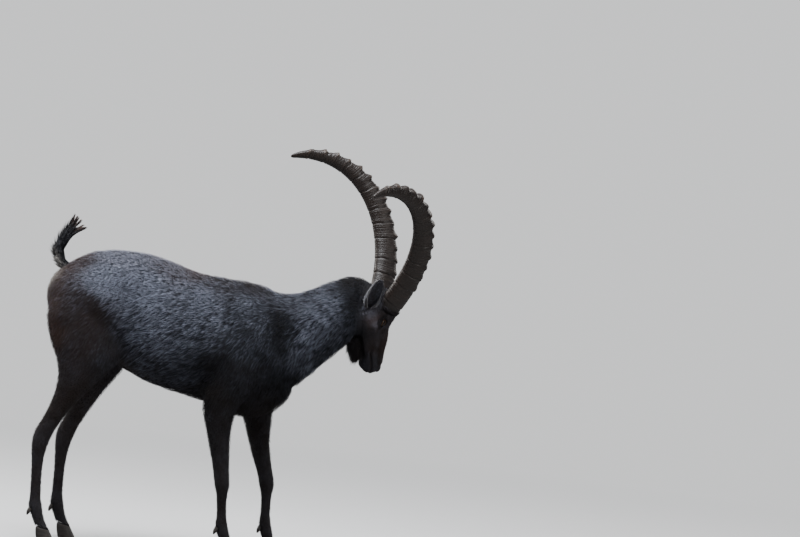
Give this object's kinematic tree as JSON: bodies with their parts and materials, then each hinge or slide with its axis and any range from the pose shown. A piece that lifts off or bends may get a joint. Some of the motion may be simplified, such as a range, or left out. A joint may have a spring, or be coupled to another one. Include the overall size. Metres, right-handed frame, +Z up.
{
  "type": "alpine ibex",
  "caption": "Life-size adult male alpine ibex standing with its head lowered, long knobbed horns, a short beard and a raised tail.",
  "frame": {"origin": "on the floor, under the middle of the animal's box", "axes": "+X the way the animal faces, +Y to its left, +Z up"},
  "size_m": [1.2172, 0.5944, 1.3314],
  "materials": {
    "coat": "matte short hair",
    "coat_dark": "matte short hair",
    "ear_coat": "matte short hair",
    "tail_hair": "coarse hair",
    "horn": "dull ridged horn",
    "hoof": "dull horn",
    "eye": "wet gloss"
  },
  "bodies": {
    "root": {"torso": "coat", "neck": "coat", "head": "coat_dark", "beard": "coat_dark", "tail": "tail_hair", "horn_left": "horn", "ear_left": "ear_coat", "eye_left": "eye", "horn_right": "horn", "ear_right": "ear_coat", "eye_right": "eye", "fore_left_forearm": "coat_dark", "fore_left_cannon": "coat_dark", "fore_left_pastern": "coat_dark", "fore_left_claw_left": "hoof", "fore_left_dewclaw_left": "hoof", "fore_left_claw_right": "hoof", "fore_left_dewclaw_right": "hoof", "fore_right_forearm": "coat_dark", "fore_right_cannon": "coat_dark", "fore_right_pastern": "coat_dark", "fore_right_claw_left": "hoof", "fore_right_dewclaw_left": "hoof", "fore_right_claw_right": "hoof", "fore_right_dewclaw_right": "hoof", "hind_left_thigh": "coat_dark", "hind_left_cannon": "coat_dark", "hind_left_pastern": "coat_dark", "hind_left_claw_left": "hoof", "hind_left_dewclaw_left": "hoof", "hind_left_claw_right": "hoof", "hind_left_dewclaw_right": "hoof", "hind_right_thigh": "coat_dark", "hind_right_cannon": "coat_dark", "hind_right_pastern": "coat_dark", "hind_right_claw_left": "hoof", "hind_right_dewclaw_left": "hoof", "hind_right_claw_right": "hoof", "hind_right_dewclaw_right": "hoof"}
  },
  "joints": []
}
